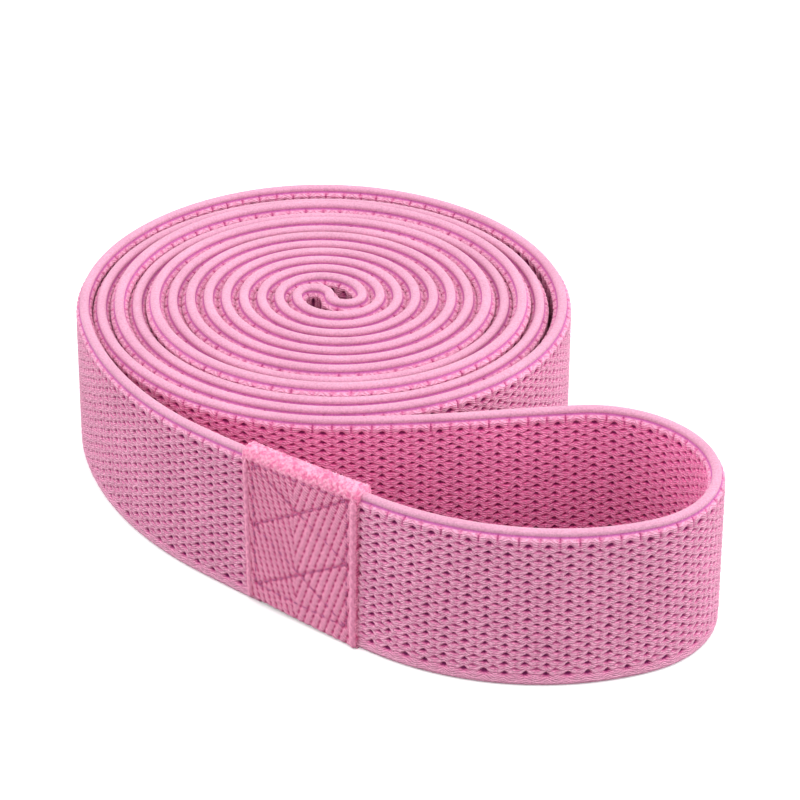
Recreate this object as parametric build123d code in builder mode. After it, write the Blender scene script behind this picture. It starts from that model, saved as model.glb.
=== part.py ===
"""Long fabric resistance band, rolled up double with its free loop left open.

The band is one endless strap of woven elastic webbing standing on its edge.  It is flattened to a
double strip and rolled, so two arms of webbing spiral out of an S-shaped bend in the middle of the
coil.  The outer arm leaves the coil on the left, runs along the front of the free loop and carries
the sewn patch that joins the ends of the webbing.  It turns round the nose of the loop and comes
back along the coil's front as the inner arm.

Frame: origin on the axis of the coil where it meets the table, +Z up along the width of the
webbing, +X towards the nose of the free loop, -Y towards the front wall of the loop.
"""
import os
from collections import namedtuple
from math import acos, asin, atan2, cos, degrees, hypot, radians, sin

from build123d import *

# ---- driving dimensions (mm, degrees) ----------------------------------------------------------
band_width = 32.0           # webbing width, upright in the coil
band_thickness = 3.1        # knit face, rubber and knit face together
layer_pitch = 3.6           # distance between neighbouring layers of the coil
core_bend = 3.3             # centre-line radius of the two small bends of the S in the middle
half_turns = 11             # last half turn of the spiral, counted from 0 next to the S
outer_slack = 1.0           # how far the last turn of the outer arm stands off the coil

# The outer arm after it passes the coil's left side: bend radius and sweep of each stretch.
leaving_sweep = 12.0                        # still with the coil's own bend
easing_bend, easing_sweep = 80.0, 36.5      # swings away from the coil
wall_bend, wall_sweep = 500.0, 5.0          # nearly straight, held stiff by the sewn patch
swing_bend, swing_sweep = 50.0, 61.5        # front of the free loop
nose_bend = 21.5                            # tightest turn, at the end of the free loop
back_wall_bend = 300.0                      # wall that goes back to the coil

unroll_angles = (150, 165, 180)     # where the rolled end is divided into links
segment_gap = 0.3                   # clearance between neighbouring segments of webbing
stretch_cut = 24.0                  # X of the cut that opens as the loop stretches
turn_cut = 52.0                     # X of the cut between the turning nose and the two walls

knit_wall = 0.8             # thickness of the knit that covers the rubber
edge_wall = 1.8             # height of the woven edges above and below the rubber
rubber_clearance = 0.06
thread_count = 7            # rubber threads side by side across the width
binder_thickness = 0.5      # yarn that ties the rubber threads together

patch_length = 26.6
patch_angle = 231.52        # middle of the patch on the front wall's arc
patch_rise = 1.2            # how far the fold stands above the webbing
patch_cloth = 0.8
patch_clearance = 0.1
pressed_edge = 1.0          # webbing pressed up inside the patch, so that the fold rests level
hem_width = 1.8
hem_thickness = 0.7
stitch_width = 0.6
stitch_height = 0.3
stitch_clearance = 0.03
border_inset = 3.4          # border stitch rows, in from the edges of the patch

Arc = namedtuple("Arc", "centre radius start sweep")

half_thickness = band_thickness / 2
rubber_half = half_thickness - knit_wall
half_pitch = layer_pitch / 2

os.makedirs("parts", exist_ok=True)


# ---- the path of the webbing, seen from above --------------------------------------------------
def layer_radius(half_turn):
    """Centre-line radius of one half turn of the spiral."""
    return 2 * core_bend + half_pitch + half_turn * layer_pitch


def half_turn_centre(half_turn, arm):
    """The back half turns are centred left of the axis and the front ones right of it."""
    is_back = half_turn % 2 == (1 if arm == "outer" else 0)
    return (-half_pitch, 0) if is_back else (half_pitch, 0)


def trimmed(arc, start_trim=0.0, end_trim=0.0):
    """The arc with a length in millimetres taken off at either end."""
    turn = 1 if arc.sweep > 0 else -1
    start_angle = turn * degrees(start_trim / arc.radius)
    end_angle = turn * degrees(end_trim / arc.radius)
    return Arc(arc.centre, arc.radius, arc.start + start_angle, arc.sweep - start_angle - end_angle)


def next_arc(arc, radius, sweep):
    """An arc that carries on from the end of another, turning the same way."""
    end_angle = arc.start + arc.sweep
    shift = arc.radius - radius
    centre = (
        arc.centre[0] + shift * cos(radians(end_angle)),
        arc.centre[1] + shift * sin(radians(end_angle)),
    )
    return Arc(centre, radius, end_angle, sweep)


def angle_span(arc, first, last):
    """The part of the arc between two angles, with half a segment gap left at each end."""
    half_gap = segment_gap / 2
    return trimmed(Arc(arc.centre, arc.radius, first, last - first), half_gap, half_gap)


outer_radius = layer_radius(half_turns) + outer_slack / 2
outer_centre = (-half_pitch + outer_slack / 2, outer_slack)
outer_arm = Arc(outer_centre, outer_radius, 0, 180)
inner_arm = Arc((-half_pitch, 0), layer_radius(half_turns - 1), 0, 180)

first_cut, middle_cut, last_cut = unroll_angles

# Along the inner arm into the coil, through the S, and out again along the outer arm.
coil_path = [trimmed(Arc(inner_arm.centre, inner_arm.radius, first_cut, -first_cut), segment_gap / 2)]
for half_turn in range(half_turns - 2, -1, -1):
    inward_start = 0 if half_turn % 2 else 180
    inward_centre = half_turn_centre(half_turn, "inner")
    coil_path.append(Arc(inward_centre, layer_radius(half_turn), inward_start, -180))
coil_path.append(Arc((core_bend, 0), core_bend, 0, -180))
coil_path.append(Arc((-core_bend, 0), core_bend, 0, 180))
for half_turn in range(0, half_turns - 1):
    outward_start = 0 if half_turn % 2 else 180
    outward_centre = half_turn_centre(half_turn, "outer")
    coil_path.append(Arc(outward_centre, layer_radius(half_turn), outward_start, 180))
last_full = layer_radius(half_turns - 1)
coil_path.append(Arc((half_pitch, 0), last_full, 180, 90))
coil_path.append(Arc((half_pitch, outer_slack), last_full + outer_slack, 270, 90))
coil_path.append(trimmed(Arc(outer_centre, outer_radius, 0, first_cut), 0, segment_gap / 2))

# Front of the free loop: each stretch carries on in the direction in which the last one ends.
leaving_arc = Arc(outer_centre, outer_radius, 180, leaving_sweep)
easing_arc = next_arc(leaving_arc, easing_bend, easing_sweep)
wall_arc = next_arc(easing_arc, wall_bend, wall_sweep)
swing_arc = next_arc(wall_arc, swing_bend, swing_sweep)
nose_start = next_arc(swing_arc, nose_bend, 0)
nose_centre = nose_start.centre

# Back wall: touches the nose at one end and the coil's front layer at the other.
coil_front_centre = (half_pitch, 0)
coil_front_radius = layer_radius(half_turns)
nose_across = nose_centre[0] - coil_front_centre[0]
nose_up = nose_centre[1] - coil_front_centre[1]
nose_distance = hypot(nose_across, nose_up)
to_coil = back_wall_bend - coil_front_radius
to_nose = back_wall_bend + nose_bend
corner_angle = degrees(acos((to_coil**2 + nose_distance**2 - to_nose**2) / (2 * to_coil * nose_distance)))
back_direction = degrees(atan2(nose_up, nose_across)) + corner_angle
back_centre = (
    coil_front_centre[0] + to_coil * cos(radians(back_direction)),
    coil_front_centre[1] + to_coil * sin(radians(back_direction)),
)
back_end = degrees(asin((nose_centre[0] - back_centre[0]) / to_nose))
meeting_angle = back_direction + 180
back_arc = Arc(back_centre, back_wall_bend, 270 + back_end, meeting_angle - 270 - back_end)
coil_front_arc = Arc(coil_front_centre, coil_front_radius, meeting_angle, 180 - meeting_angle)
nose_arc = Arc(nose_centre, nose_bend, nose_start.start - 360, 450 + back_end - nose_start.start)

patch_sweep = degrees(patch_length / wall_bend)
patch_start = patch_angle - patch_sweep / 2
patch_arc = Arc(wall_arc.centre, wall_bend, patch_start, patch_sweep)
left_span = Arc(wall_arc.centre, wall_bend, wall_arc.start, patch_angle - wall_arc.start)
right_span = Arc(wall_arc.centre, wall_bend, patch_angle, wall_arc.start + wall_sweep - patch_angle)


# ---- the section of the webbing ----------------------------------------------------------------
def strip(path, inside, outside, bottom, top, mode=Mode.ADD):
    """Upright strip along a path, between two offsets to the left and the right of travel."""
    with BuildSketch(Plane.XY.offset(bottom)) as footprint:
        with BuildLine():
            left_side = []
            right_side = []
            for arc in path:
                turn = 1 if arc.sweep > 0 else -1
                left_side.append(CenterArc(arc.centre, arc.radius - turn * inside, arc.start, arc.sweep))
                right_side.append(CenterArc(arc.centre, arc.radius + turn * outside, arc.start, arc.sweep))
            Line(left_side[0] @ 0, right_side[0] @ 0)
            Line(left_side[-1] @ 1, right_side[-1] @ 1)
        make_face()
    extrude(to_extrude=footprint.sketch, amount=top - bottom, mode=mode)


def webbing(path):
    """Knit cover of the band: a flat tube with a woven edge above and below."""
    strip(path, half_thickness, half_thickness, 0, band_width)
    strip(path, rubber_half, rubber_half, edge_wall, band_width - edge_wall, mode=Mode.SUBTRACT)


def rubber_threads(path):
    """Rubber threads running side by side inside the cover, tied by a thin binder yarn."""
    low = edge_wall + rubber_clearance
    high = band_width - edge_wall - rubber_clearance
    thread_half = rubber_half - rubber_clearance
    spacing = (high - low) / thread_count
    strip(path, binder_thickness / 2, binder_thickness / 2, low, high)
    for thread in range(thread_count):
        thread_low = low + (thread + 0.15) * spacing
        strip(path, thread_half, thread_half, thread_low, thread_low + 0.7 * spacing)


def keep_between(x_low, x_high):
    """Cut the segment square to the long axis of the loop."""
    if x_low is not None:
        split(bisect_by=Plane.YZ.offset(x_low + segment_gap / 2), keep=Keep.TOP)
    if x_high is not None:
        split(bisect_by=Plane.YZ.offset(x_high - segment_gap / 2), keep=Keep.BOTTOM)


def press_edge(path):
    """The sewn patch presses the lower edge of the webbing up by the thickness of its fold."""
    strip(path, band_thickness, band_thickness, 0, pressed_edge, mode=Mode.SUBTRACT)


# ---- coil --------------------------------------------------------------------------------------
with BuildPart() as coil_webbing:
    webbing(coil_path)
coil_webbing.part.label = "coil_webbing"
export_step(coil_webbing.part, "parts/coil_webbing.step")

with BuildPart() as coil_rubber:
    rubber_threads(coil_path)
coil_rubber.part.label = "coil_rubber"
export_step(coil_rubber.part, "parts/coil_rubber.step")

# ---- links of the rolled end -------------------------------------------------------------------
link_spans = ((first_cut, middle_cut), (middle_cut, last_cut))
for number, (link_start, link_end) in enumerate(link_spans, start=1):
    for layer, arm in (("outer", outer_arm), ("inner", inner_arm)):
        link_path = [angle_span(arm, link_start, link_end)]
        link_name = f"wrap_{number}_{layer}"

        with BuildPart() as link_webbing:
            webbing(link_path)
        link_webbing.part.label = f"{link_name}_webbing"
        export_step(link_webbing.part, f"parts/{link_name}_webbing.step")

        with BuildPart() as link_rubber:
            rubber_threads(link_path)
        link_rubber.part.label = f"{link_name}_rubber"
        export_step(link_rubber.part, f"parts/{link_name}_rubber.step")

# ---- free loop: front wall up to the stretch cut ------------------------------------------------
left_path = [trimmed(leaving_arc, segment_gap / 2), easing_arc, trimmed(left_span, 0, segment_gap / 2)]
right_path = [trimmed(right_span, segment_gap / 2), swing_arc]

with BuildPart() as front_left_webbing:
    webbing(left_path)
    press_edge([trimmed(patch_arc, -patch_clearance, -patch_clearance)])
front_left_webbing.part.label = "front_left_webbing"
export_step(front_left_webbing.part, "parts/front_left_webbing.step")

with BuildPart() as front_left_rubber:
    rubber_threads(left_path)
front_left_rubber.part.label = "front_left_rubber"
export_step(front_left_rubber.part, "parts/front_left_rubber.step")

with BuildPart() as front_right_webbing:
    webbing(right_path)
    press_edge([trimmed(patch_arc, -patch_clearance, -patch_clearance)])
    keep_between(None, stretch_cut)
front_right_webbing.part.label = "front_right_webbing"
export_step(front_right_webbing.part, "parts/front_right_webbing.step")

with BuildPart() as front_right_rubber:
    rubber_threads(right_path)
    keep_between(None, stretch_cut)
front_right_rubber.part.label = "front_right_rubber"
export_step(front_right_rubber.part, "parts/front_right_rubber.step")

# ---- free loop: back wall from the coil to the stretch cut --------------------------------------
back_path = [back_arc, trimmed(coil_front_arc, 0, segment_gap / 2)]

with BuildPart() as back_webbing:
    webbing(back_path)
    keep_between(None, stretch_cut)
back_webbing.part.label = "back_webbing"
export_step(back_webbing.part, "parts/back_webbing.step")

with BuildPart() as back_rubber:
    rubber_threads(back_path)
    keep_between(None, stretch_cut)
back_rubber.part.label = "back_rubber"
export_step(back_rubber.part, "parts/back_rubber.step")

# ---- free loop: middle section and nose ---------------------------------------------------------
with BuildPart() as front_middle_webbing:
    webbing([swing_arc])
    keep_between(stretch_cut, turn_cut)
front_middle_webbing.part.label = "front_middle_webbing"
export_step(front_middle_webbing.part, "parts/front_middle_webbing.step")

with BuildPart() as front_middle_rubber:
    rubber_threads([swing_arc])
    keep_between(stretch_cut, turn_cut)
front_middle_rubber.part.label = "front_middle_rubber"
export_step(front_middle_rubber.part, "parts/front_middle_rubber.step")

back_bend_arc = Arc(nose_centre, nose_bend, 0, 90 + back_end)

with BuildPart() as back_middle_webbing:
    webbing([back_bend_arc, back_arc])
    keep_between(stretch_cut, turn_cut)
back_middle_webbing.part.label = "back_middle_webbing"
export_step(back_middle_webbing.part, "parts/back_middle_webbing.step")

with BuildPart() as back_middle_rubber:
    rubber_threads([back_bend_arc, back_arc])
    keep_between(stretch_cut, turn_cut)
back_middle_rubber.part.label = "back_middle_rubber"
export_step(back_middle_rubber.part, "parts/back_middle_rubber.step")

with BuildPart() as nose_webbing:
    webbing([swing_arc, nose_arc])
    keep_between(turn_cut, None)
nose_webbing.part.label = "nose_webbing"
export_step(nose_webbing.part, "parts/nose_webbing.step")

with BuildPart() as nose_rubber:
    rubber_threads([swing_arc, nose_arc])
    keep_between(turn_cut, None)
nose_rubber.part.label = "nose_rubber"
export_step(nose_rubber.part, "parts/nose_rubber.step")

# ---- sewn patch over the joined ends ------------------------------------------------------------
sleeve_inside = half_thickness + patch_clearance
sleeve_outside = sleeve_inside + patch_cloth
patch_top = band_width + patch_rise

with BuildPart() as patch_sleeve:
    strip([patch_arc], sleeve_outside, sleeve_outside, 0, patch_top)
    cavity_path = [trimmed(patch_arc, -1, -1)]
    strip(cavity_path, sleeve_inside, sleeve_inside, patch_cloth, patch_top - patch_cloth, mode=Mode.SUBTRACT)
patch_sleeve.part.label = "patch_sleeve"
export_step(patch_sleeve.part, "parts/patch_sleeve.step")

hem_low = sleeve_outside + stitch_clearance
hem_high = hem_low + hem_thickness
for side, hem_start in (("left", patch_arc.start), ("right", patch_arc.start + patch_sweep)):
    inward = 1 if side == "left" else -1
    hem_arc = Arc(wall_arc.centre, wall_bend, hem_start, inward * degrees(hem_width / wall_bend))

    with BuildPart() as hem:
        if side == "left":
            strip([hem_arc], -hem_low, hem_high, 0, patch_top)
        else:
            strip([hem_arc], hem_high, -hem_low, 0, patch_top)
    hem.part.label = f"patch_hem_{side}"
    export_step(hem.part, f"parts/patch_hem_{side}.step")

# The cloth's free end laps over the sleeve on the side of the coil.
with BuildPart() as patch_lap:
    strip([trimmed(patch_arc, hem_width, hem_width)], hem_high, -hem_low, 2, band_width / 2)
patch_lap.part.label = "patch_lap"
export_step(patch_lap.part, "parts/patch_lap.step")

# ---- stitching of the patch ---------------------------------------------------------------------
patch_middle = Plane(
    origin=(
        wall_arc.centre[0] + wall_bend * cos(radians(patch_angle)),
        wall_arc.centre[1] + wall_bend * sin(radians(patch_angle)),
        patch_top / 2,
    ),
    x_dir=(-sin(radians(patch_angle)), cos(radians(patch_angle)), 0),
    z_dir=(cos(radians(patch_angle)), sin(radians(patch_angle)), 0),
)
border_length = patch_length - 2 * border_inset
border_height = patch_top - 2 * border_inset
cell_height = border_height / 2
stitch_reach = 8.0          # how far a stitch outline reaches through the patch


def front_stitch_layer():
    """Thin skin on the outside of the patch in which the stitches of the front lie."""
    stitch_low = sleeve_outside + stitch_clearance
    strip([patch_arc], -stitch_low, stitch_low + stitch_height, 0, patch_top)


def keep_stitches(outline):
    """Keep only the rows drawn on the plane of the patch."""
    extrude(to_extrude=outline, amount=stitch_reach, mode=Mode.INTERSECT)


with BuildPart() as border_stitch:
    front_stitch_layer()
    with BuildSketch(patch_middle) as border_rows:
        Rectangle(border_length, border_height)
        Rectangle(border_length - 2 * stitch_width, border_height - 2 * stitch_width, mode=Mode.SUBTRACT)
    keep_stitches(border_rows.sketch)
border_stitch.part.label = "border_stitch"
export_step(border_stitch.part, "parts/border_stitch.step")

cross_gap = 2 * stitch_width
cross_length = hypot(border_length - cross_gap, cell_height - cross_gap)
cross_angle = degrees(atan2(cell_height - cross_gap, border_length - cross_gap))
for row, cell_middle in (("upper", cell_height / 2), ("lower", -cell_height / 2)):
    with BuildPart() as cross_stitch:
        front_stitch_layer()
        with BuildSketch(patch_middle) as cross_rows:
            with Locations((0, cell_middle)):
                SlotOverall(cross_length, stitch_width, rotation=cross_angle)
                SlotOverall(cross_length, stitch_width, rotation=-cross_angle)
                Rectangle(border_length - cross_gap, cell_height - cross_gap, mode=Mode.INTERSECT)
        keep_stitches(cross_rows.sketch)
    cross_stitch.part.label = f"cross_stitch_{row}"
    export_step(cross_stitch.part, f"parts/cross_stitch_{row}.step")

# On the side of the coil the stitches show as two bars, clear of the lap.
for row, bar_height in (("top", patch_top - border_inset), ("middle", band_width / 2 + border_inset)):
    with BuildPart() as back_bar:
        bar_path = [trimmed(patch_arc, border_inset, border_inset)]
        strip(bar_path, hem_low + stitch_height, -hem_low, bar_height, bar_height + stitch_width)
    back_bar.part.label = f"back_bar_{row}"
    export_step(back_bar.part, f"parts/back_bar_{row}.step")

# ---- zigzag that holds the two cut ends together inside the patch -------------------------------
with BuildPart() as seam_thread:
    seam_half = segment_gap / 2 - stitch_clearance
    seam_sweep = degrees(2 * seam_half / wall_bend)
    seam_arc = Arc(wall_arc.centre, wall_bend, patch_angle - seam_sweep / 2, seam_sweep)
    strip([seam_arc], half_thickness, half_thickness, pressed_edge, band_width)
seam_thread.part.label = "seam_thread"
export_step(seam_thread.part, "parts/seam_thread.step")
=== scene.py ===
"""Looks of a rolled fabric resistance band: knitted webbing, sewn patch, floor, light and camera.

The whole band is one strap that runs along one path of tangent arcs.  Every piece of webbing is a
stretch of that path, so the knit runs on without a break from piece to piece.  Lengths are in
millimetres until a mesh is made.  "along" is the distance along the strap from the seam under the
patch, and "below" is the distance down from the top edge.
"""

from collections import namedtuple
from math import acos, asin, atan2, cos, degrees, hypot, pi, radians, sin, tau

import bpy
import numpy as np
from mathutils import Matrix, Vector


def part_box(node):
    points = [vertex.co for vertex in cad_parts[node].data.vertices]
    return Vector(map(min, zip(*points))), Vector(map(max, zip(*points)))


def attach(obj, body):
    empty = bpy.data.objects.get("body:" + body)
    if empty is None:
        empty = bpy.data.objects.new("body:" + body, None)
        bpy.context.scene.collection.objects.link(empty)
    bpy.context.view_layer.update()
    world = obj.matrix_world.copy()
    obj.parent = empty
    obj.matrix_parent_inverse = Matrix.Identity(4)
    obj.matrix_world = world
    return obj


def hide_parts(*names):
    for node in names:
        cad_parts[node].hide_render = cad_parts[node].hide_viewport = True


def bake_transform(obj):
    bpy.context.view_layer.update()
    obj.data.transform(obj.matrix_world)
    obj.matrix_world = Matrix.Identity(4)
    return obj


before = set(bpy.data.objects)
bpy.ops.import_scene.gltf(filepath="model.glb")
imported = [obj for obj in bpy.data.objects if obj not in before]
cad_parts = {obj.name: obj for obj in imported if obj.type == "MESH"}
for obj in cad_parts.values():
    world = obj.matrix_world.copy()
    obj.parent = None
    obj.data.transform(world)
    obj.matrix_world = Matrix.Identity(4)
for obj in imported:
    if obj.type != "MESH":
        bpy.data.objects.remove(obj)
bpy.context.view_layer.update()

MM = 0.001

# ---- dimensions shared with the frame -----------------------------------------------------------
band_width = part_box("coil_webbing")[1].z / MM
patch_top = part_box("patch_sleeve")[1].z / MM
layer_pitch = 3.6           # distance between neighbouring layers of the coil
core_bend = 3.3             # radius of the two small bends in the middle of the coil
half_turns = 11             # last half turn of the coil, counted from 0 next to the middle
outer_slack = 1.0           # how far the last turn stands off the coil

# Radius and, in degrees, sweep of each stretch of the front wall after it leaves the coil.
leaving_sweep = 12.0
easing_bend, easing_sweep = 80.0, 36.5
wall_bend, wall_sweep = 500.0, 5.0
swing_bend, swing_sweep = 50.0, 61.5
nose_bend = 21.5
back_wall_bend = 300.0

unroll_angles = (150, 165, 180)     # where the unrolling end is divided into links
patch_length = 26.6
patch_angle = 231.52        # middle of the patch, where the seam is, on the front wall's arc

Arc = namedtuple("Arc", "centre radius start sweep")
half_pitch = layer_pitch / 2


# ---- the path of the strap ----------------------------------------------------------------------
def layer_radius(half_turn):
    """Centre-line radius of one half turn of the coil."""
    return 2 * core_bend + half_pitch + half_turn * layer_pitch


def next_arc(arc, radius, sweep):
    """An arc that carries on from the end of another, turning the same way."""
    end_angle = arc.start + arc.sweep
    shift = arc.radius - radius
    centre = (
        arc.centre[0] + shift * cos(radians(end_angle)),
        arc.centre[1] + shift * sin(radians(end_angle)),
    )
    return Arc(centre, radius, end_angle, sweep)


left_centre = (-half_pitch, 0)
right_centre = (half_pitch, 0)
outer_radius = layer_radius(half_turns) + outer_slack / 2
outer_arm = Arc((-half_pitch + outer_slack / 2, outer_slack), outer_radius, 0, 180 + leaving_sweep)
easing = next_arc(outer_arm, easing_bend, easing_sweep)
wall = next_arc(easing, wall_bend, wall_sweep)
swing = next_arc(wall, swing_bend, swing_sweep)
nose_start = next_arc(swing, nose_bend, 0)
nose_centre = nose_start.centre

# The back wall touches the nose at one end and the coil's front layer at the other.
coil_front_radius = layer_radius(half_turns)
nose_across = nose_centre[0] - right_centre[0]
nose_up = nose_centre[1] - right_centre[1]
nose_distance = hypot(nose_across, nose_up)
to_coil = back_wall_bend - coil_front_radius
to_nose = back_wall_bend + nose_bend
corner_cosine = (to_coil**2 + nose_distance**2 - to_nose**2) / (2 * to_coil * nose_distance)
corner_angle = degrees(acos(corner_cosine))
back_direction = degrees(atan2(nose_up, nose_across)) + corner_angle
back_centre = (
    right_centre[0] + to_coil * cos(radians(back_direction)),
    right_centre[1] + to_coil * sin(radians(back_direction)),
)
back_end = degrees(asin((nose_centre[0] - back_centre[0]) / to_nose))
meeting_angle = back_direction + 180

# From the seam under the patch: front of the loop, nose, back wall, into the coil and out again.
RIGHT_WALL, SWING, NOSE, BACK, COIL_FRONT, INNER_ARM = range(6)
strap = [
    Arc(wall.centre, wall_bend, patch_angle, wall.start + wall_sweep - patch_angle),
    swing,
    Arc(nose_centre, nose_bend, nose_start.start - 360, 450 + back_end - nose_start.start),
    Arc(back_centre, back_wall_bend, 270 + back_end, meeting_angle - 270 - back_end),
    Arc(right_centre, coil_front_radius, meeting_angle, 180 - meeting_angle),
]
for half_turn in range(half_turns - 1, -1, -1):
    inward_centre, inward_start = (right_centre, 0) if half_turn % 2 else (left_centre, 180)
    strap.append(Arc(inward_centre, layer_radius(half_turn), inward_start, -180))
strap.append(Arc((core_bend, 0), core_bend, 0, -180))
strap.append(Arc((-core_bend, 0), core_bend, 0, 180))
for half_turn in range(half_turns - 1):
    outward_centre, outward_start = (left_centre, 0) if half_turn % 2 else (right_centre, 180)
    strap.append(Arc(outward_centre, layer_radius(half_turn), outward_start, 180))
last_full = layer_radius(half_turns - 1)
strap.append(Arc(right_centre, last_full, 180, 90))
strap.append(Arc((half_pitch, outer_slack), last_full + outer_slack, 270, 90))
strap.append(outer_arm)
strap.append(easing)
strap.append(Arc(wall.centre, wall_bend, wall.start, patch_angle - wall.start))
SLACK_TURN, OUTER_ARM = len(strap) - 4, len(strap) - 3

arc_lengths = np.array([arc.radius * radians(abs(arc.sweep)) for arc in strap])
arc_starts = np.concatenate([[0.0], np.cumsum(arc_lengths)])
strap_length = arc_starts[-1]


def along_at(index, angle):
    """Distance along the strap of the place where an arc passes an angle."""
    arc = strap[index]
    return arc_starts[index] + arc.radius * radians(abs(angle - arc.start))


def walk(along):
    """Places on the strap's centre line and unit vectors to the left of travel."""
    index = np.clip(np.searchsorted(arc_starts, along, side="right") - 1, 0, len(strap) - 1)
    centre = np.array([arc.centre for arc in strap])[index]
    radius = np.array([arc.radius for arc in strap])[index]
    start = np.radians([arc.start for arc in strap])[index]
    turn = np.sign([arc.sweep for arc in strap])[index]
    angle = start + turn * (along - arc_starts[index]) / radius
    outward = np.stack([np.cos(angle), np.sin(angle)], axis=-1)
    return centre + radius[:, None] * outward, -turn[:, None] * outward


first_cut, middle_cut, last_cut = unroll_angles
half_link = (middle_cut - first_cut) / 2
coil_start = along_at(INNER_ARM, first_cut - half_link)
coil_end = along_at(SLACK_TURN, 270)
front_of_coil = along_at(COIL_FRONT, 270)
back_of_coil = along_at(OUTER_ARM, 98)

# ---- the section of the webbing -----------------------------------------------------------------
rim_half = 0.92             # smooth rolled rim along the top edge
rim_height = 0.62
groove_depth = 1.14         # coloured thread between the rim and the knit
groove_cut = 0.12
groove_reach = 0.2
shoulder_end = 1.8          # where the webbing has its full thickness
foot_round = 0.9            # rounding of the bottom edge, which the webbing's weight flattens
loose_half = 1.46           # half thickness of the knit in the free loop
packed_half = 1.68          # and squeezed into the coil
bar_depth = 1.98            # first row of the knit, a row of short bars
bar_reach = 0.86            # half the height of a bar
bar_arch = 0.3              # bars bend down between the main columns of holes
foot_bar_depth = 1.15       # and the last one, from the bottom edge
foot_bar_reach = 1.2
foot_bar_arch = 0.15
first_row = 3.5             # middle of the first waved row, below the top edge
course = 0.94               # distance between waved rows
last_row = 27               # number of the last waved row
wale = 3.75                 # length of one stitch along the strap
swing_level = 0.24          # how far a row waves up and down, as a share of a course
peak_level = 0.05           # how much narrower that makes the main holes
bias_level = 0.03           # how much bigger the main holes are than the ones between them
crest_level = 0.11          # pull of every row upwards at a hole, which flattens the hole's foot
deepest_hole = 0.55         # bottom of the holes, below the webbing's own surface

inner_lift = 1.15           # how high the inner layers of the coil stand above the table
back_lift = 0.95            # and the outermost one at the back of the coil
outer_turn = 290            # length of the outermost turn
front_lean = 2.7            # how far the top edge of the loop's front wall leans inwards
back_lean = 1.5             # and of its back wall


def smooth(low, high, value):
    """Soft step from 0 at the low value to 1 at the high one."""
    share = np.clip((value - low) / (high - low), 0, 1)
    return share * share * (3 - 2 * share)


def soft_bump(distance, width):
    """Soft bump that is 1 where the distance is 0 and fades out over about the width."""
    return np.exp(-((distance / width) ** 2))


def base_half(below, body_half):
    """Half the thickness at a distance below the top edge, before the relief of the knit."""
    rim = rim_half * np.sqrt(1 - (1 - np.minimum(below, rim_height) / rim_height) ** 2)
    groove = groove_cut * soft_bump(below - groove_depth, groove_reach)
    top = rim - groove + (body_half - rim_half) * smooth(groove_depth, shoulder_end, below)
    above = np.minimum(band_width - below, foot_round)
    foot = (body_half - foot_round) + foot_round * np.sqrt(1 - (1 - above / foot_round) ** 2)
    return np.minimum(top, foot)


def squeeze(along):
    """Half thickness along the strap: loose in the free loop, packed in the coil."""
    entering = smooth(coil_start - 60, coil_start, along)
    leaving = 1 - smooth(coil_end + 60, coil_end + 200, along)
    return loose_half + (packed_half - loose_half) * entering * leaving


def lean(along):
    """How far the top edge of the free loop's walls leans towards the inside of the loop."""
    from_seam = np.where(along > strap_length / 2, along - strap_length, along)
    front = front_lean * soft_bump(from_seam - 32, 38)
    back = back_lean * soft_bump(from_seam - 140, 22)
    return front - back


def lift(along):
    """Inner layers stand higher than outer ones, and the outermost turn rises at the back."""
    layers = inner_lift * smooth(coil_start + 150, coil_start + 700, along)
    from_back = along - back_of_coil
    layers = layers * (1 - smooth(-outer_turn, -outer_turn / 2, from_back))
    back_rise = back_lift * soft_bump(from_back, 42)
    uneven = 0.1 * smooth(coil_start, coil_start + 90, along) * (1 + np.sin(along / 23))
    return layers + back_rise + uneven * (1 - smooth(-outer_turn / 2, 0, from_back))


def face_samples(fine):
    """Distances below the top edge at which one face is sampled, from top to bottom."""
    rim = rim_height * (1 - np.cos(np.linspace(0.15, pi / 2, 6)))
    top = np.concatenate([rim, np.linspace(0.8, first_row - course / 2, 14)])
    bottom_row = first_row + (last_row + 0.5) * course
    foot = band_width - foot_round * (1 - np.cos(np.linspace(pi / 2, 0.15, 6)))
    bottom = np.concatenate([np.linspace(bottom_row, band_width - foot_round, 9)[:-1], foot])
    samples_per_row = 4
    steps = (last_row + 1) * samples_per_row if fine else 6
    middle = np.linspace(top[-1], bottom[0], steps + 1)[1:-1]
    return np.concatenate([top, middle, bottom])


def to_nearest(value, spacing):
    """Distance to the nearest whole multiple of a spacing."""
    return np.abs(np.mod(value + spacing / 2, spacing) - spacing / 2)


def waved_rows(stitch, level):
    """Relief of the waved rows.  Neighbouring rows wave against each other and leave the holes."""
    doubled = np.cos(2 * tau * stitch)
    swing_up = swing_level * np.cos(tau * stitch) + peak_level * doubled + bias_level
    crest = crest_level * doubled
    even = to_nearest(level - swing_up + crest, 2)
    odd = to_nearest(level - 1 + swing_up + crest, 2)
    nearest = np.minimum(even, odd)
    above_first = swing_up - crest - level
    nearest = np.where(above_first > 0, above_first, nearest)
    below_last = level - (last_row - swing_up - crest)
    nearest = np.where(below_last > 0, below_last, nearest)

    tilt = 0.05 * np.where(even < odd, 1, -1) * np.sin(2 * tau * stitch)
    joints = 0.10 * soft_bump(to_nearest(stitch, 0.5), 0.045)
    grain = tilt - 0.04 * doubled - joints
    rows = 0.17 - 0.95 * nearest**2 - 0.42 * smooth(0.56, 0.8, nearest) + grain
    small_holes = 0.14 * soft_bump(to_nearest(stitch + 0.5, 1) * wale, 0.4)
    return rows - small_holes * smooth(0.46, 0.62, nearest)


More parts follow.
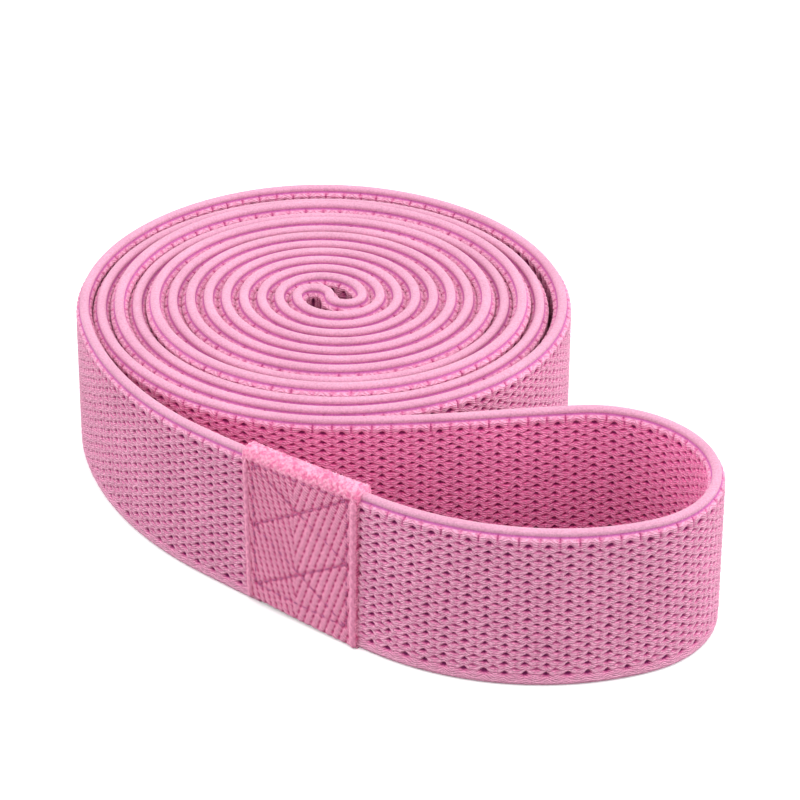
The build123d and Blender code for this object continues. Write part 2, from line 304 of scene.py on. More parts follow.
def short_bars(stitch, below):
    """Relief of the row of short bars under the rim and of the one above the bottom edge."""
    is_top = below < band_width / 2
    arch = np.cos(tau * stitch)
    doubled = np.cos(2 * tau * stitch)
    top_bar = (below - bar_depth + bar_arch * arch) / bar_reach
    foot_bar = (band_width - below - foot_bar_depth + foot_bar_arch * arch) / foot_bar_reach
    from_bar = np.abs(np.where(is_top, top_bar, foot_bar))
    in_column = soft_bump(to_nearest(stitch, 1) * wale, 0.5)
    rounding = (0.10 + 0.12 * in_column) * from_bar**2
    bars = 0.14 - rounding - 0.45 * in_column * smooth(0.9, 1.2, from_bar)
    ticks = 0.32 * soft_bump(to_nearest(stitch + 0.5, 1) * wale, 0.15)
    top_shape = ticks + 0.05 * doubled
    foot_shape = -0.03 * doubled
    return bars - np.where(is_top, top_shape, foot_shape)


def knit(along, below, face):
    """Relief of the knit, with the wobbling stitch and row counts that place its yarns."""
    side = 0.5 * face
    wobble = 0.035 * np.sin(0.43 * along + 1.9 * below) + 0.03 * np.sin(1.31 * along - 0.8 * below)
    stitch = along / wale + side + wobble
    level = (below - first_row) / course + 0.09 * np.sin(0.77 * along + 0.31 * below)
    level = level + 0.07 * np.sin(2.3 * along - 1.1 * below)
    relief = np.maximum(short_bars(stitch, below), waved_rows(stitch, level))
    rim_lines = 0.012 * np.cos(tau * along / 0.8 + 4 * below)
    past_groove = smooth(groove_depth - 0.1, groove_depth + 0.3, below)
    relief = relief * past_groove + rim_lines * smooth(0, 0.3, below) * (1 - past_groove)
    return np.maximum(relief, -deepest_hole), stitch, level


# ---- mesh code ----------------------------------------------------------------------------------
def skins(name, grids, material, slot_name, looped=False, **attributes):
    """One piece made of closed skins.  Each grid holds rings of places in millimetres."""
    grids = np.asarray(grids)
    count, columns, rows = grids.shape[:3]
    column = np.arange(columns if looped else columns - 1)[:, None]
    row = np.arange(rows)[None, :]
    beside = (row + 1) % rows
    following = (column + 1) % columns
    here, ahead = column * rows, following * rows
    corners = (here + row, here + beside, ahead + beside, ahead + row)
    quads = np.stack(np.broadcast_arrays(*corners), axis=-1).reshape(-1)
    sizes = np.full(len(quads) // 4, 4)
    if not looped:
        caps = [np.arange(rows)[::-1], (columns - 1) * rows + np.arange(rows)]
        quads = np.concatenate([quads, *caps])
        sizes = np.concatenate([sizes, [rows, rows]])
    offsets = np.arange(count)[:, None] * columns * rows
    faces = (quads[None, :] + offsets).reshape(-1)
    sizes = np.tile(sizes, count)

    mesh = bpy.data.meshes.new(name)
    mesh.vertices.add(count * columns * rows)
    mesh.vertices.foreach_set("co", (grids * MM).astype(np.float32).reshape(-1))
    mesh.loops.add(len(faces))
    mesh.loops.foreach_set("vertex_index", faces.astype(np.int32))
    mesh.polygons.add(len(sizes))
    mesh.polygons.foreach_set("loop_start", (np.cumsum(sizes) - sizes).astype(np.int32))
    mesh.update(calc_edges=True)
    mesh.validate()
    mesh.shade_smooth()
    if not looped:
        edges = np.empty(len(mesh.edges) * 2, np.int32)
        mesh.edges.foreach_get("vertices", edges)
        ring = (edges.reshape(-1, 2) % (columns * rows)) // rows
        around_end = (ring[:, 0] == ring[:, 1]) & np.isin(ring[:, 0], (0, columns - 1))
        mesh.attributes.new("sharp_edge", "BOOLEAN", "EDGE").data.foreach_set("value", around_end)
    for label, values in attributes.items():
        attribute = mesh.attributes.new(label, "FLOAT", "POINT")
        full = np.broadcast_to(values, grids.shape[:3])
        attribute.data.foreach_set("value", full.astype(np.float32).reshape(-1))
    mesh.materials.append(material)
    piece = bpy.data.objects.new(name, mesh)
    bpy.context.scene.collection.objects.link(piece)
    return piece


# ---- materials ----------------------------------------------------------------------------------
def node(tree, kind, inputs=None, output=0, **settings):
    """A shader node whose inputs are filled with values or joined to other sockets."""
    made = tree.nodes.new("ShaderNode" + kind)
    for setting, value in settings.items():
        setattr(made, setting, value)
    for key, value in (inputs or {}).items():
        if isinstance(value, bpy.types.NodeSocket):
            tree.links.new(value, made.inputs[key])
        else:
            made.inputs[key].default_value = value
    return made.outputs[output]


def maths(tree, operation, first, second=0.0):
    """Result of a sum on one or two values or sockets."""
    return node(tree, "Math", {0: first, 1: second}, operation=operation)


def waves(tree, angle, height):
    """Even waves of a height over an angle in radians."""
    return maths(tree, "MULTIPLY", maths(tree, "COSINE", angle), height)


def attribute(tree, name):
    """A number stored on the mesh's corners."""
    return node(tree, "Attribute", output=2, attribute_name=name)


def ramp(tree, value, low, high, stops):
    """Colour picked from stops by where a value lies between low and high."""
    share = node(tree, "MapRange", {0: value, 1: low, 2: high})
    made = tree.nodes.new("ShaderNodeValToRGB")
    elements = made.color_ramp.elements
    for extra in range(len(stops) - 2):
        elements.new(0.5)
    for element, (position, colour) in zip(elements, stops):
        element.position = position
        element.color = (*colour, 1)
    tree.links.new(share, made.inputs[0])
    return made.outputs[0]


def mixed(tree, factor, first, second, blend="MIX"):
    """Colour between two others, or one laid over the other by another blend."""
    settings = {"data_type": "RGBA", "blend_type": blend}
    return node(tree, "Mix", {0: factor, 6: first, 7: second}, output=2, **settings)


def noise(tree, scale, stretch=(1, 1, 1), detail=3.0):
    """Noise over the object, finer where the stretch is larger."""
    place = node(tree, "TexCoord", output=3)
    stretched = node(tree, "Mapping", {0: place, 3: stretch})
    return node(tree, "TexNoise", {"Vector": stretched, "Scale": scale, "Detail": detail})


def cloth(name, roughness, sheen):
    """A new material with the soft finish that all the textiles share."""
    material = bpy.data.materials.new(name)
    material.use_nodes = True
    tree = material.node_tree
    shader = tree.nodes["Principled BSDF"]
    shader.inputs["Roughness"].default_value = roughness
    shader.inputs["Specular IOR Level"].default_value = 0.25
    shader.inputs["Sheen Weight"].default_value = sheen
    shader.inputs["Sheen Roughness"].default_value = 0.45
    shader.inputs["Sheen Tint"].default_value = (1.0, 0.80, 0.88, 1)
    return material, tree, shader


# Knit pinks picked by relief: holes and hollows are painted dark as shade, the yarn's own pink sits
# between, and the crowns get a painted highlight.
hole_shade_pink = (0.24, 0.018, 0.13)
shade_pink = (0.62, 0.11, 0.30)
yarn_pink = (0.82, 0.275, 0.475)
crown_highlight_pink = (0.87, 0.40, 0.57)
rim_pink = (0.66, 0.315, 0.45)
groove_purple = (0.53, 0.13, 0.37)
rib_pink = (0.83, 0.32, 0.48)


def finish_cloth(tree, shader, colour, height, distance):
    """Fibres and slow colour changes over a cloth's own colour and bumps."""
    fibres = noise(tree, 2600, detail=2.0)
    patches = noise(tree, 90)
    shade = ramp(tree, fibres, 0.3, 0.7, ((0, (0.86, 0.84, 0.85)), (1, (1.12, 1.14, 1.13))))
    slow = ramp(tree, patches, 0.3, 0.7, ((0, (0.95, 0.93, 0.94)), (1, (1.04, 1.06, 1.05))))
    coloured = mixed(tree, 1.0, mixed(tree, 1.0, colour, shade, "MULTIPLY"), slow, "MULTIPLY")
    tree.links.new(coloured, shader.inputs["Base Color"])
    bumps = maths(tree, "ADD", height, maths(tree, "MULTIPLY", fibres, 0.5))
    bump = node(tree, "Bump", {"Height": bumps, "Distance": distance, "Strength": 0.6})
    tree.links.new(bump, shader.inputs["Normal"])


def knit_material():
    """Waved yarns of three strands, a coloured groove thread and a smooth pale rim, with shade painted
    into the holes and hollows and a highlight painted on the yarns' crowns.
    """
    material, tree, shader = cloth("knit_webbing", 0.85, 0.22)
    stitch = maths(tree, "MULTIPLY", attribute(tree, "stitch"), tau)
    level = attribute(tree, "level")
    doubled = maths(tree, "COSINE", maths(tree, "MULTIPLY", stitch, 2.0))
    peaked = maths(tree, "ADD", maths(tree, "MULTIPLY", doubled, peak_level), bias_level)
    swing_up = maths(tree, "MULTIPLY", maths(tree, "COSINE", stitch), swing_level)
    swung = maths(tree, "ADD", swing_up, peaked)
    crested = maths(tree, "ADD", level, maths(tree, "MULTIPLY", doubled, crest_level))
    even = maths(tree, "PINGPONG", maths(tree, "SUBTRACT", crested, swung), 1.0)
    odd_level = maths(tree, "SUBTRACT", maths(tree, "ADD", crested, swung), 1.0)
    odd = maths(tree, "PINGPONG", odd_level, 1.0)
    nearest = maths(tree, "MINIMUM", even, odd)
    # Strands: brighter along each yarn's middle and darker to its edges as painted shade of its
    # roundness, with finer strand lines and slanted plies of the yarn's own texture.
    yarn_round = waves(tree, maths(tree, "MULTIPLY", nearest, tau * 1.05), 0.4)
    yarn_lines = waves(tree, maths(tree, "MULTIPLY", nearest, tau * 2.6), 0.3)
    fold_back = maths(tree, "MULTIPLY", maths(tree, "PINGPONG", stitch, pi), 3.2)
    slanted = maths(tree, "SUBTRACT", maths(tree, "MULTIPLY", level, 2 * tau), fold_back)
    plies = waves(tree, slanted, 0.45)
    strands = maths(tree, "ADD", yarn_round, yarn_lines)
    strands = maths(tree, "ADD", strands, plies)

    below = attribute(tree, "below")
    in_rows = node(tree, "MapRange", {0: below, 1: 2.7, 2: 2.9})
    curved = maths(tree, "ADD", maths(tree, "MULTIPLY", below, tau / 0.42), doubled)
    faint_strands = maths(tree, "ADD", waves(tree, curved, 0.25), plies)
    strands = node(tree, "Mix", {0: in_rows, 2: faint_strands, 3: strands})

    relief = attribute(tree, "relief")
    # Painted shade and highlight: darker down into holes and hollows, lighter on the crowns, with the
    # strand shading multiplied over it.
    yarn = ramp(tree, relief, -0.5, 0.14, (
        (0, hole_shade_pink), (0.25, hole_shade_pink), (0.5, shade_pink), (0.8, yarn_pink), (1, crown_highlight_pink)))
    strand_shade = ramp(tree, strands, -1, 1, ((0, (0.76, 0.62, 0.70)), (1, (1.12, 1.18, 1.15))))
    yarn = mixed(tree, 1.0, yarn, strand_shade, "MULTIPLY")
    edge = ramp(tree, below, 0, 2, (
        (0, rim_pink), (0.48, rim_pink), (0.53, groove_purple), (1, groove_purple)))
    is_edge = node(tree, "MapRange", {0: below, 1: 1.42, 2: 1.3})
    colour = mixed(tree, is_edge, yarn, edge)
    past_rim = node(tree, "MapRange", {0: below, 1: 1.3, 2: 1.5})
    is_knit = node(tree, "MapRange", {0: below, 1: 1.2, 2: 3.0})
    # Painted bounce light: the knit on the loop's inner faces is tinted a deeper pink, more red and less
    # green, for light reflected between the walls.
    painted_bounce_share = maths(tree, "MULTIPLY", attribute(tree, "inside"), is_knit)
    painted_bounce_tint = mixed(tree, painted_bounce_share, (1, 1, 1, 1), (1.16, 0.80, 1.0, 1))
    colour = mixed(tree, 1.0, colour, painted_bounce_tint, "MULTIPLY")
    finish_cloth(tree, shader, colour, maths(tree, "MULTIPLY", strands, past_rim), 0.00025)
    return material


def patch_material():
    """Ribbed cloth of the patch, pale and fuzzy where it folds over the top."""
    material, tree, shader = cloth("patch_cloth", 0.9, 0.15)
    relief = attribute(tree, "relief")
    fold = attribute(tree, "fold")
    # Painted shade: furrows between the ribs and lines pressed down by the stitching are coloured darker
    # the deeper they lie.
    ribbed = ramp(tree, relief, -0.28, 0.08, (
        (0, (0.45, 0.05, 0.17)), (0.35, (0.68, 0.13, 0.29)), (0.75, rib_pink), (1, rib_pink)))
    loops = noise(tree, 1100, detail=1.0)
    fuzzy = ramp(tree, loops, 0.35, 0.62, ((0, (0.76, 0.18, 0.35)), (1, (0.90, 0.38, 0.54))))
    colour = mixed(tree, fold, ribbed, fuzzy)
    twist = attribute(tree, "twist")
    twisted = maths(tree, "COSINE", maths(tree, "MULTIPLY", twist, tau))
    twist_shade = ramp(tree, twisted, -1, 1, ((0, (0.84, 0.74, 0.80)), (1, (1.08, 1.12, 1.10))))
    flat = maths(tree, "SUBTRACT", 1.0, fold)
    colour = mixed(tree, flat, colour, twist_shade, "MULTIPLY")
    lumps = maths(tree, "MULTIPLY", loops, maths(tree, "MULTIPLY", fold, 3.0))
    grooves = maths(tree, "MULTIPLY", twisted, maths(tree, "MULTIPLY", flat, 0.6))
    height = maths(tree, "ADD", grooves, lumps)
    finish_cloth(tree, shader, colour, height, 0.00018)
    return material


def thread_material():
    """Twisted sewing thread, a little darker than the cloth."""
    material, tree, shader = cloth("sewing_thread", 0.6, 0.1)
    twist = maths(tree, "COSINE", maths(tree, "MULTIPLY", attribute(tree, "twist"), tau))
    colour = ramp(tree, twist, -1, 1, ((0, (0.34, 0.06, 0.19)), (1, (0.60, 0.19, 0.36))))
    finish_cloth(tree, shader, colour, twist, 0.00006)
    return material


knit_look = knit_material()
patch_look = patch_material()
thread_look = thread_material()


# ---- webbing, piece by piece --------------------------------------------------------------------
def webbing(name, first, last, fine_left=True, fine_right=True, step=0.33):
    """A stretch of knitted webbing as one closed skin.  Faces that are never seen aren't fine."""
    columns = max(3, int(round((last - first) / step)) + 1)
    along = np.linspace(first, last, columns)
    centre, left = walk(along)
    left_below = face_samples(fine_left)
    right_below = face_samples(fine_right)[::-1]
    below = np.concatenate([left_below, right_below])[None, :]
    face = np.concatenate([np.ones(len(left_below)), -np.ones(len(right_below))])[None, :]
    along = along[:, None]
    relief, stitch, level = knit(along, below, face)
    across = face * (base_half(below, squeeze(along)) + relief)
    across = across + lean(along) * (1 - below / band_width)
    flat = centre[:, None, :] + left[:, None, :] * across[..., None]
    rise = band_width - below + lift(along)
    places = np.concatenate([flat, rise[..., None]], axis=-1)
    # Inner faces of the free loop, which get the painted tint of light bounced between the walls.
    inside = (face > 0) * (1 - smooth(front_of_coil + 20, front_of_coil + 60, along))
    return skins(
        name, places[None], knit_look, "knit_webbing",
        relief=relief[None], stitch=stitch[None], level=level[None],
        below=below[None], inside=inside[None],
    )


coil_pieces = 8
coil_step = 0.47
uncovered_start = along_at(SLACK_TURN - 2, 135)     # the part that unrolling brings into sight
coil_bounds = np.linspace(coil_start, uncovered_start, coil_pieces + 1)
for number in range(coil_pieces):
    span = coil_bounds[number : number + 2]
    name = f"coil_band_{number + 1}"
    piece = webbing(name, span[0], span[1], fine_left=False, fine_right=False, step=coil_step)
    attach(piece, "coil")
    if number == 0:
        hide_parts("coil_webbing", "coil_rubber")

coil_side_end = along_at(OUTER_ARM, 60)
coil_back_end = along_at(OUTER_ARM, first_cut - half_link)
for name, first, last in (
    ("coil_uncovered", uncovered_start, coil_end),
    ("coil_side", coil_end, coil_side_end),
    ("coil_back", coil_side_end, coil_back_end),
):
    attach(webbing(name, first, last, fine_left=False), "coil")

under_patch = 3.0           # how far the webbing reaches in under the patch
patch_half = patch_length / 2
inside_patch = patch_half - under_patch
patch_entry = strap_length - inside_patch


link_middles = [cut - half_link for cut in unroll_angles] + [last_cut + half_link]
for number in range(3):
    low_angle, high_angle = link_middles[number], link_middles[number + 1]
    is_last = number == 2
    outer_last = patch_entry if is_last else along_at(OUTER_ARM, high_angle)
    inner_first = front_of_coil if is_last else along_at(INNER_ARM, high_angle)
    outer_first, inner_last = along_at(OUTER_ARM, low_angle), along_at(INNER_ARM, low_angle)
    outer = webbing(f"link_{number + 1}_outer", outer_first, outer_last, fine_left=is_last)
    inner = webbing(f"link_{number + 1}_inner", inner_first, inner_last, fine_left=is_last)
    for piece in (outer, inner):
        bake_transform(piece)
    if is_last:
        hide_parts("front_left_webbing", "front_left_rubber")
        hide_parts("back_webbing", "back_rubber")
    else:
        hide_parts(f"wrap_{number + 1}_outer_webbing", f"wrap_{number + 1}_outer_rubber")
        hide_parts(f"wrap_{number + 1}_inner_webbing", f"wrap_{number + 1}_inner_rubber")

turn_start, turn_end = 38.0, 70.0           # X over which the nose turns against the walls
front_split = along_at(SWING, 360 - degrees(acos((turn_start - swing.centre[0]) / swing_bend)))
back_split = along_at(BACK, 270 + degrees(asin((turn_start - back_centre[0]) / back_wall_bend)))

front_wall = webbing("front_wall", inside_patch, front_split)
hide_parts("front_right_webbing", "front_right_rubber")
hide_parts("front_middle_webbing", "front_middle_rubber")
back_wall = webbing("back_wall", back_split, front_of_coil)
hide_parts("back_middle_webbing", "back_middle_rubber")
for piece in (front_wall, back_wall):
    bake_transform(piece)

nose = webbing("nose", front_split, back_split)
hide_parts("nose_webbing", "nose_rubber")
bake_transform(nose)

# ---- sewn patch ---------------------------------------------------------------------------------
cloth_half = 2.2            # half thickness of the patch, webbing and two layers of cloth
fold_bend = 1.9             # rounding of the fold over the top
foot_bend = 0.8             # rounding at the bottom
border_inset = 3.9          # border stitches, in from the bottom
border_top_inset = 2.7      # from the top
border_end_inset = 2.3      # and from the sides
patch_skew = 1.4            # how far the patch leans sideways, sewn on by eye
foot_tilt = 1.1             # and how much its left end is pulled up at the foot
chevron_middle = -1.2       # where the ribs of the two halves meet
rib_leans = (0.26, 0.36)    # run of a rib sideways for each millimetre down, left and right half
rib_pitches = (1.45, 1.7)
rib_gap = 0.27              # half width of the furrow between two ribs
rib_depth = 0.27            # and its depth
lap_inset = 1.9             # the lap at the back ends this far in from the patch's sides
lap_middle = 9.0            # height of its middle
lap_high_half = 7.0         # half its height
lap_thick_half = 0.38       # and half its thickness
border_half = patch_half - border_end_inset
border_low = border_inset
border_high = patch_top - border_top_inset
border_middle = (border_low + border_high) / 2


def on_patch(sideways, out, rise):
    """Places on the patch: sideways from its middle to the right, out of its front, and up."""
    sideways, rise = np.asarray(sideways), np.asarray(rise)
    angle = radians(patch_angle) + (sideways + patch_skew * (0.5 - rise / band_width)) / wall_bend
    reach = wall_bend + np.asarray(out) - lean(sideways) * rise / band_width
    rise = rise + foot_tilt * (0.5 - sideways / patch_length) * (1 - rise / patch_top)
    across = wall.centre[0] + reach * np.cos(angle)
    ahead = wall.centre[1] + reach * np.sin(angle)
    return np.stack(np.broadcast_arrays(across, ahead, rise), axis=-1)


def sleeve_outline(half, step):
    """The patch's section from the front's foot over the top to the back's foot, and underneath."""
    corners = (
        (-half + foot_bend, foot_bend, -90, -180, foot_bend),
        (-half + fold_bend, patch_top - fold_bend, 180, 90, fold_bend),
        (half - fold_bend, patch_top - fold_bend, 90, 0, fold_bend),
        (half - foot_bend, foot_bend, 0, -90, foot_bend),
    )
    points = []
    for middle, rise, start, end, bend in corners:
        angles = np.radians(np.linspace(start, end, 9))
        corner = [-(middle + bend * np.cos(angles)), rise + bend * np.sin(angles)]
        points.append(np.stack(corner, axis=-1))
    points = np.concatenate(points + [points[0][:1]])
    lengths = np.concatenate([[0], np.cumsum(np.hypot(*np.diff(points, axis=0).T))])
    places = np.linspace(0, lengths[-1], int(lengths[-1] / step) + 1)[:-1]
    return np.interp(places, lengths, points[:, 0]), np.interp(places, lengths, points[:, 1])


border_lines = [
    ((-border_half, border_low), (border_half, border_low)),
    ((-border_half, border_high), (border_half, border_high)),
    ((-border_half, border_low), (-border_half, border_high)),
    ((border_half, border_low), (border_half, border_high)),
]
rising_lines = [
    ((-border_half, border_low), (border_half, border_middle)),
    ((-border_half, border_middle), (border_half, border_high)),
]
falling_lines = [
    ((-border_half, border_middle), (border_half, border_low)),
    ((-border_half, border_high), (border_half, border_middle)),
]


def to_line(sideways, rise, line):
    """Distance from a stitch line drawn on the patch."""
    (start_x, start_z), (end_x, end_z) = line
    run_x, run_z = end_x - start_x, end_z - start_z
    share = ((sideways - start_x) * run_x + (rise - start_z) * run_z) / (run_x**2 + run_z**2)
    share = np.clip(share, 0, 1)
    return np.hypot(sideways - start_x - share * run_x, rise - start_z - share * run_z)


def patch_relief(sideways, rise):
    """Ribs that lean towards each other, pressed down along the stitching."""
    from_top = patch_top - rise
    left = sideways < chevron_middle
    run = np.where(left, rib_leans[0], rib_leans[1])
    pitch = np.where(left, rib_pitches[0], rib_pitches[1])
    ribs = (np.abs(sideways - chevron_middle) + run * from_top) / pitch
    from_furrow = to_nearest(ribs, 1) * pitch
    dashes = 0.65 + 0.35 * np.cos(tau * rise / 1.3 + 2 * np.floor(ribs + 0.5))
    furrows = rib_depth * dashes * soft_bump(from_furrow, rib_gap)
    relief = 0.05 * np.sin(pi * ribs) ** 2 - furrows
    relief = relief + 0.03 * np.sin(1.7 * sideways + 2.1 * rise)
    for lines, strength in ((border_lines, 0.10), (rising_lines, 0.16), (falling_lines, 0.09)):
        for line in lines:
            pressed = soft_bump(to_line(sideways, rise, line), 0.4)
            relief = relief * (1 - 2 * strength * pressed) - strength * pressed
    return relief


sleeve_step = 0.18
twist_count = 1.6           # twists for each millimetre of a rib


def sleeve_cloth():
    """The cloth wrapped round the webbing, ribbed in front and fuzzy where it folds over the top."""
    sideways = np.linspace(-patch_half, patch_half, int(patch_length / sleeve_step))[:, None]
    out, rise = sleeve_outline(cloth_half, sleeve_step)
    on_front = smooth(0.5, 1.5, out)[None, :]
    fold_start = patch_top - fold_bend
    fold_share = smooth(fold_start - 0.5, fold_start + 0.4, rise)[None, :]
    ribs = patch_relief(sideways, rise[None, :])
    round_fold = np.arange(len(rise))[None, :] * sleeve_step
    knobs = np.sin(5.0 * sideways + 0.8 * np.sin(1.9 * round_fold))
    lumps = 0.10 * knobs * np.sin(5.6 * round_fold + 1.1 * np.sin(1.3 * sideways))
    lumps = lumps + 0.04 * np.sin(9.1 * sideways + 7.7 * round_fold)
    relief = ribs * on_front * (1 - fold_share) + lumps * fold_share
    grown = 1 + relief / cloth_half
    fold_rise = foot_bend + (rise - foot_bend) * (1 + relief * fold_share / 20)
    places = on_patch(sideways, out * grown, fold_rise)
    twist = rise * twist_count + sideways
    return skins(
        "patch_sleeve_cloth", places[None], patch_look, "patch_cloth",
        relief=relief[None], fold=fold_share[None], twist=twist[None],
    )


sleeve = sleeve_cloth()
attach(sleeve, "loop_base")
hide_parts("patch_sleeve")


def rolled_hem(name, middle, half_width, bulge):
    """A hem rolled up the front of the sleeve's end, under the fold."""
    hem_rise = np.linspace(0.15, patch_top - fold_bend - 0.2, 110)[:, None]
    turn = np.linspace(0, tau, 16, endpoint=False)[None, :]
    end_fade = np.sqrt(smooth(0, 0.8, hem_rise) * smooth(0, 1.4, hem_rise[-1] - hem_rise) + 0.01)
    swell = end_fade * (1 + 0.04 * np.sin(2.9 * hem_rise) + 0.03 * np.sin(7.3 * hem_rise + 1))
    places = on_patch(
        middle + half_width * swell * np.cos(turn) + 0.05 * np.sin(1.1 * hem_rise),
        cloth_half - 0.1 + bulge * swell * np.sin(turn),
        hem_rise,
    )
    twist = 0.15 * np.sin(3.1 * hem_rise) + 3 * turn / tau
    # This relief only sets the colour: painted shade on the hem roll, pale on its front, darker down its
    # sides and darkest at its back.
    relief = -0.13 + 0.2 * np.sin(turn)
    hem = skins(name, places[None], patch_look, "patch_cloth", relief=relief, fold=0.0, twist=twist)
    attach(hem, "loop_base")
    return hem


left_hem_middle, right_hem_middle = 0.7 - patch_half, patch_half - 0.8
left_hem = rolled_hem("patch_hem_roll_left", left_hem_middle, 0.65, 0.4)
right_hem = rolled_hem("patch_hem_roll_right", right_hem_middle, 0.8, 0.5)
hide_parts("patch_hem_left")
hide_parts("patch_hem_right")


def lap_cloth():
    """The free end of the cloth, lapped over the sleeve on the side of the coil."""
    lap_half = patch_half - lap_inset
    lap_sideways = np.linspace(-lap_half, lap_half, 90)[:, None]
    turn = np.linspace(0, tau, 72, endpoint=False)[None, :]
    squared_rise = np.sign(np.sin(turn)) * np.abs(np.sin(turn)) ** 0.35
    squared_out = np.sign(np.cos(turn)) * np.abs(np.cos(turn)) ** 0.35
    weave = 0.05 * np.cos(tau * lap_sideways / 1.5) * np.ones_like(turn)
    lap_out = -cloth_half - 0.3 - (lap_thick_half + weave) * squared_out
    lap_rise = lap_high_half * squared_rise
    places = on_patch(lap_sideways, lap_out, lap_middle + lap_rise)
    twist = lap_rise * twist_count + lap_sideways
    return skins(
        "patch_lap_cloth", places[None], patch_look, "patch_cloth",
        relief=weave, fold=0.0, twist=twist,
    )


lap = lap_cloth()
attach(lap, "loop_base")
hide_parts("patch_lap")

# ---- stitching ----------------------------------------------------------------------------------
thread_half = 0.2           # half thickness of the sewing thread
stitch_pitch = 2.1          # from one stitch to the next
stitch_share = 0.72         # of the pitch that the thread covers
zigzag_turns = 20
zigzag_half = 0.45          # half the width of the zigzag


def stitch_row(lines, surface):
    """Rings of places of every stitch along some lines on the patch."""
    turn = np.linspace(0, tau, 8, endpoint=False)
    grids = []
    for (start_x, start_z), (end_x, end_z) in lines:
        length = hypot(end_x - start_x, end_z - start_z)
        count = max(1, round(length / stitch_pitch))
        run_x, run_z = (end_x - start_x) / length, (end_z - start_z) / length
        for number in range(count):
            middle = (number + 0.5) * length / count
            share = np.linspace(-1, 1, 9)[:, None]
            place = middle + share * stitch_pitch * stitch_share / 2
            half = thread_half * np.sqrt(1.02 - share**2)
            sideways = start_x + run_x * place - run_z * half * np.cos(turn)
            rise = start_z + run_z * place + run_x * half * np.cos(turn)
            out = surface + np.sign(surface) * (half * np.sin(turn) - 0.15 * share**2)
            grids.append(on_patch(sideways, out, rise))
    return np.array(grids)


def stitches(name, lines, surface, *replaced):
    """One piece holding every stitch along some lines."""
    grids = stitch_row(lines, surface)
    twist = np.linspace(0, 4, grids.shape[1])[None, :, None]
    piece = skins(name, grids, thread_look, "sewing_thread", twist=twist)
    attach(piece, "loop_base")
    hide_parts(*replaced)


front_surface = cloth_half - 0.12       # pulled a little into the cloth
lap_surface = -cloth_half - 0.7         # back of the lap
bare_surface = -cloth_half - 0.02       # back of the patch above the lap
bar_half = patch_half - border_inset
upper_cross = [rising_lines[1], falling_lines[1]]
lower_cross = [rising_lines[0], falling_lines[0]]
stitches("border_stitches", border_lines, front_surface, "border_stitch")
stitches("cross_stitches_upper", upper_cross, front_surface, "cross_stitch_upper")
stitches("cross_stitches_lower", lower_cross, front_surface, "cross_stitch_lower")
bar_on_lap = 14.6           # height of the bar of stitches that holds the lap down
back_bars = (("top", border_high, bare_surface), ("middle", bar_on_lap, lap_surface))
for place, bar_rise, surface in back_bars:
    bar_line = ((-bar_half, bar_rise), (bar_half, bar_rise))
    stitches(f"back_bar_stitches_{place}", [bar_line], surface, f"back_bar_{place}")


def seam_zigzag():
    """Zigzag thread between the two cut ends of webbing inside the patch."""
    rise = np.linspace(1.5, band_width - 1.5, zigzag_turns * 6 + 1)
    turns = np.linspace(0, zigzag_turns, len(rise))
    side = zigzag_half * (4 * to_nearest(turns, 1) - 1)
    turn = np.linspace(0, tau, 8, endpoint=False)[None, :]
    places = on_patch(
        side[:, None] + thread_half * np.cos(turn),
        1.2 + thread_half * np.sin(turn),
        rise[:, None],
    )
    return skins("seam_zigzag", places[None], thread_look, "sewing_thread", twist=rise[:, None])


seam = seam_zigzag()
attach(seam, "loop_base")
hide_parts("seam_thread")

# ---- floor, light and camera --------------------------------------------------------------------
floor_mesh = bpy.data.meshes.new("floor")
floor_half = 3.0            # metres
floor_corners = [(x * floor_half, y * floor_half, 0) for x, y in ((-1, -1), (1, -1), (1, 1), (-1, 1))]
floor_mesh.from_pydata(floor_corners, [], [(0, 1, 2, 3)])
floor = bpy.data.objects.new("floor", floor_mesh)
bpy.context.scene.collection.objects.link(floor)
floor_material = bpy.data.materials.new("floor")
floor_material.use_nodes = True
floor_tree = floor_material.node_tree

# The camera sees a pale floor.  Other rays see a darker one, which throws less light up the walls.
seen = node(floor_tree, "LightPath")
floor_colour = mixed(floor_tree, seen, (0.25, 0.23, 0.24, 1), (0.95, 0.95, 0.95, 1))
floor_glow = maths(floor_tree, "MULTIPLY", seen, 0.22)
floor_shader = floor_tree.nodes["Principled BSDF"]
floor_tree.links.new(floor_colour, floor_shader.inputs["Base Color"])
floor_tree.links.new(floor_glow, floor_shader.inputs["Emission Strength"])
floor_shader.inputs["Emission Color"].default_value = (1, 1, 1, 1)
floor_shader.inputs["Roughness"].default_value = 0.95
floor_shader.inputs["Specular IOR Level"].default_value = 0.0
floor_mesh.materials.append(floor_material)

# Soft boxes on both sides, the right one stronger, and a weaker one overhead.
overhead_strength = 0.90
sides_strength = 2.6
right_strength = 0.75
lowest_strength = 0.08
backdrop_strength = 0.95

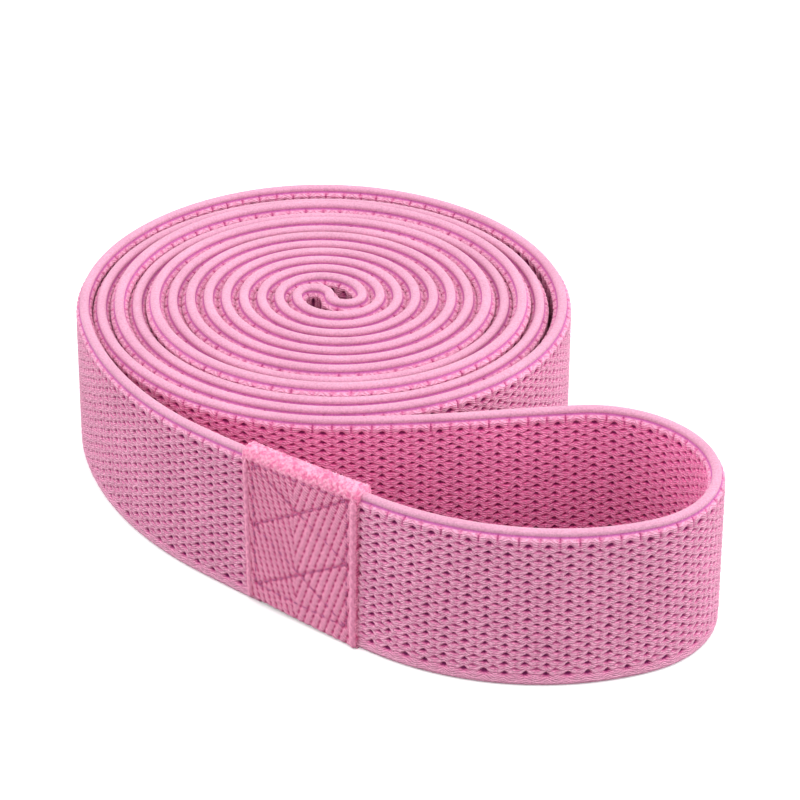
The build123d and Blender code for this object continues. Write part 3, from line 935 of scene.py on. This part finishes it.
world = bpy.data.worlds.new("studio")
world.use_nodes = True
sky_tree = world.node_tree
direction = node(sky_tree, "TexCoord", output=0)
separated = sky_tree.nodes.new("ShaderNodeSeparateXYZ")
sky_tree.links.new(direction, separated.inputs[0])
height_above, to_right = separated.outputs["Z"], separated.outputs["X"]
overhead = maths(sky_tree, "MULTIPLY", maths(sky_tree, "MAXIMUM", height_above, 0.0), overhead_strength)
from_sides = maths(sky_tree, "MULTIPLY", maths(sky_tree, "MULTIPLY", to_right, to_right), sides_strength)
from_right = maths(sky_tree, "MULTIPLY", maths(sky_tree, "MAXIMUM", to_right, 0.0), right_strength)
strength = maths(sky_tree, "ADD", maths(sky_tree, "ADD", from_sides, from_right), overhead)
strength = maths(sky_tree, "ADD", strength, lowest_strength)

# The camera sees an even pale backdrop in place of the lights.
seen_directly = node(sky_tree, "LightPath")
strength = node(sky_tree, "Mix", {0: seen_directly, 2: strength, 3: backdrop_strength})
sky = sky_tree.nodes["Background"]
sky.inputs["Color"].default_value = (1, 1, 1, 1)
sky_tree.links.new(strength, sky.inputs["Strength"])
bpy.context.scene.world = world
bpy.context.scene.view_settings.view_transform = "Standard"


def area_light(name, place, aim, size, power):
    """A round, slightly pink lamp that faces the place it is aimed at."""
    light = bpy.data.lights.new(name, "AREA")
    light.shape = "DISK"
    light.size = size
    light.energy = power
    light.color = (1.0, 0.88, 0.94)
    lamp = bpy.data.objects.new(name, light)
    lamp.location = place
    lamp.rotation_euler = (Vector(aim) - Vector(place)).to_track_quat("-Z", "Y").to_euler()
    bpy.context.scene.collection.objects.link(lamp)


area_light("key", (-0.15, -0.48, 0.66), (0, -0.02, 0), 0.4, 0.85)

camera_aim = Vector((14.4, -13.5, 16.0)) * MM
camera_distance = 0.686
camera_elevation = radians(30)
camera_roll = 0.008
camera_data = bpy.data.cameras.new("camera")
camera_data.lens = 153
camera_data.clip_start = 0.05
camera = bpy.data.objects.new("camera", camera_data)
back_axis = Vector((0, -cos(camera_elevation), sin(camera_elevation)))
level_up = Vector((0, sin(camera_elevation), cos(camera_elevation)))
right_axis = cos(camera_roll) * Vector((1, 0, 0)) + sin(camera_roll) * level_up
up_axis = -sin(camera_roll) * Vector((1, 0, 0)) + cos(camera_roll) * level_up
turned = Matrix((right_axis, up_axis, back_axis)).transposed().to_4x4()
camera.matrix_world = Matrix.Translation(camera_aim + back_axis * camera_distance) @ turned
bpy.context.scene.collection.objects.link(camera)
bpy.context.scene.camera = camera
